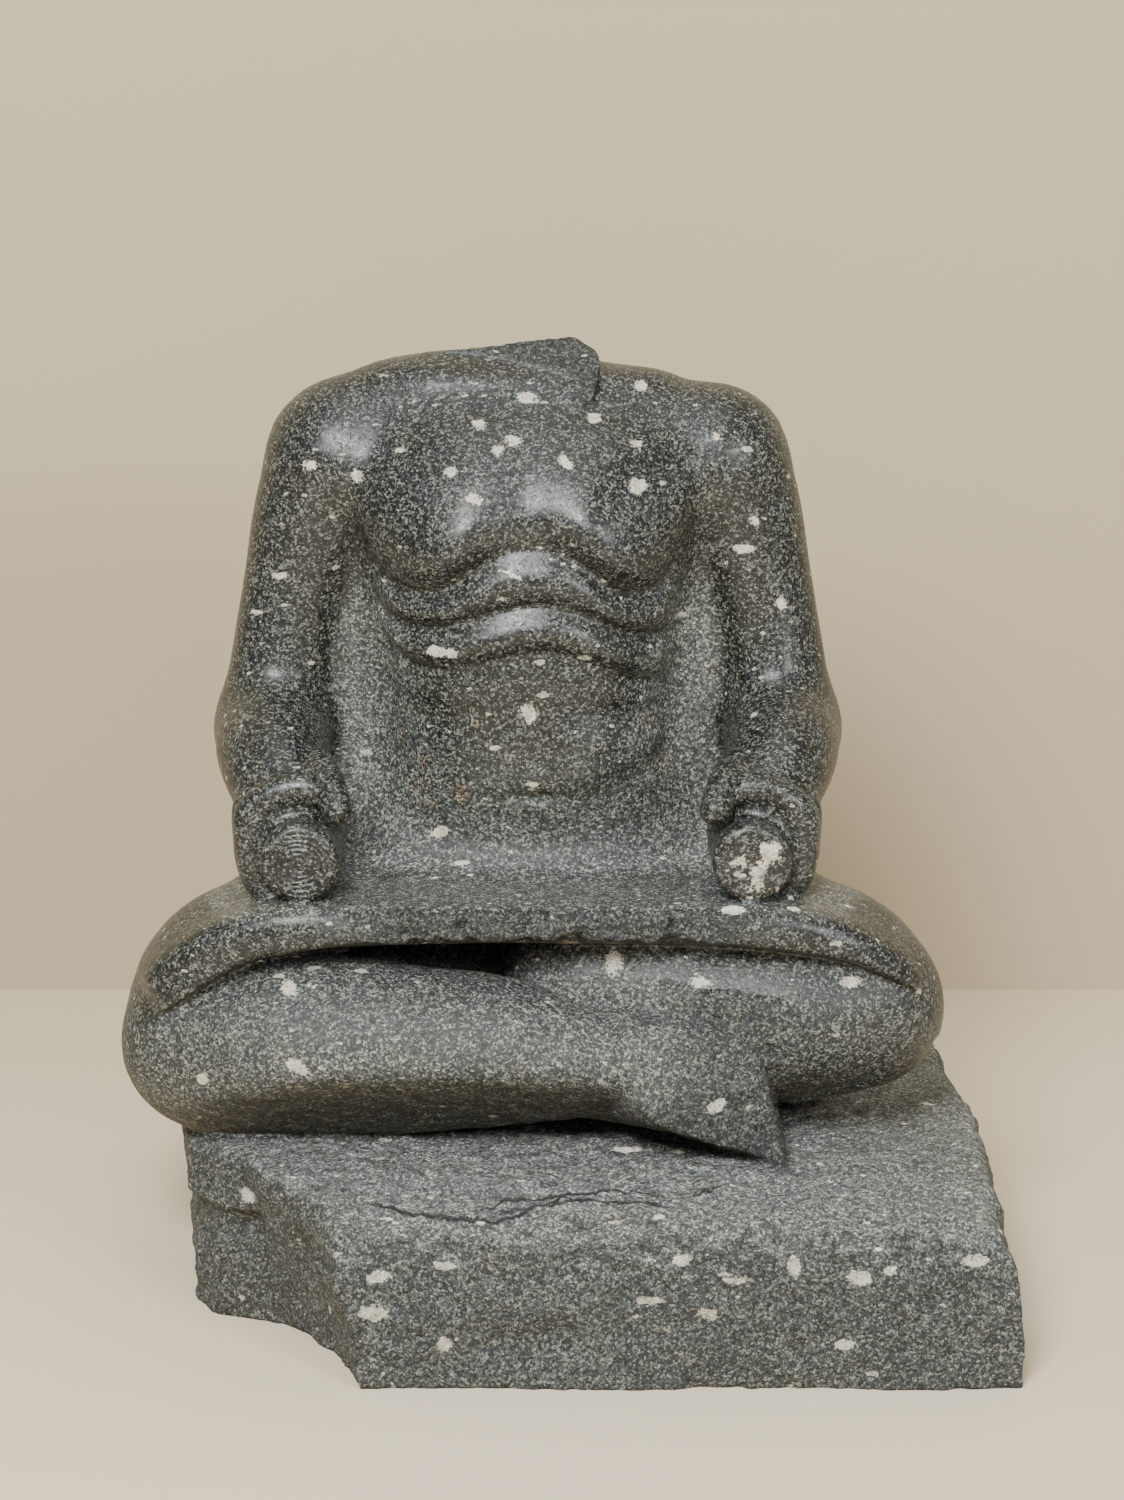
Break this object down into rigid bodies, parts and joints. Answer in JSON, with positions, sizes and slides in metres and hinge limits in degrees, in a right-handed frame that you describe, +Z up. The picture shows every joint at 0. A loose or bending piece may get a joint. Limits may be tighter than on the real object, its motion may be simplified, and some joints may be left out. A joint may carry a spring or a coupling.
{
  "type": "seated scribe statue",
  "caption": "Headless seated scribe statue, cross-legged in a stretched kilt with a papyrus roll in each fist, on a broken block plinth, all carved from one stone.",
  "frame": {"origin": "on the plinth's flat underside, below the middle of the figure", "axes": "+Z up; the figure faces -Y; +X is to the right as one looks at its front"},
  "size_m": [0.9286, 0.7701, 0.996],
  "materials": {
    "granodiorite": "dark blue-grey granodiorite, speckled light and dark with cream feldspars; polished figure, rough matte plinth and breaks"
  },
  "bodies": {
    "root": {"seated_scribe": "granodiorite"}
  },
  "joints": []
}
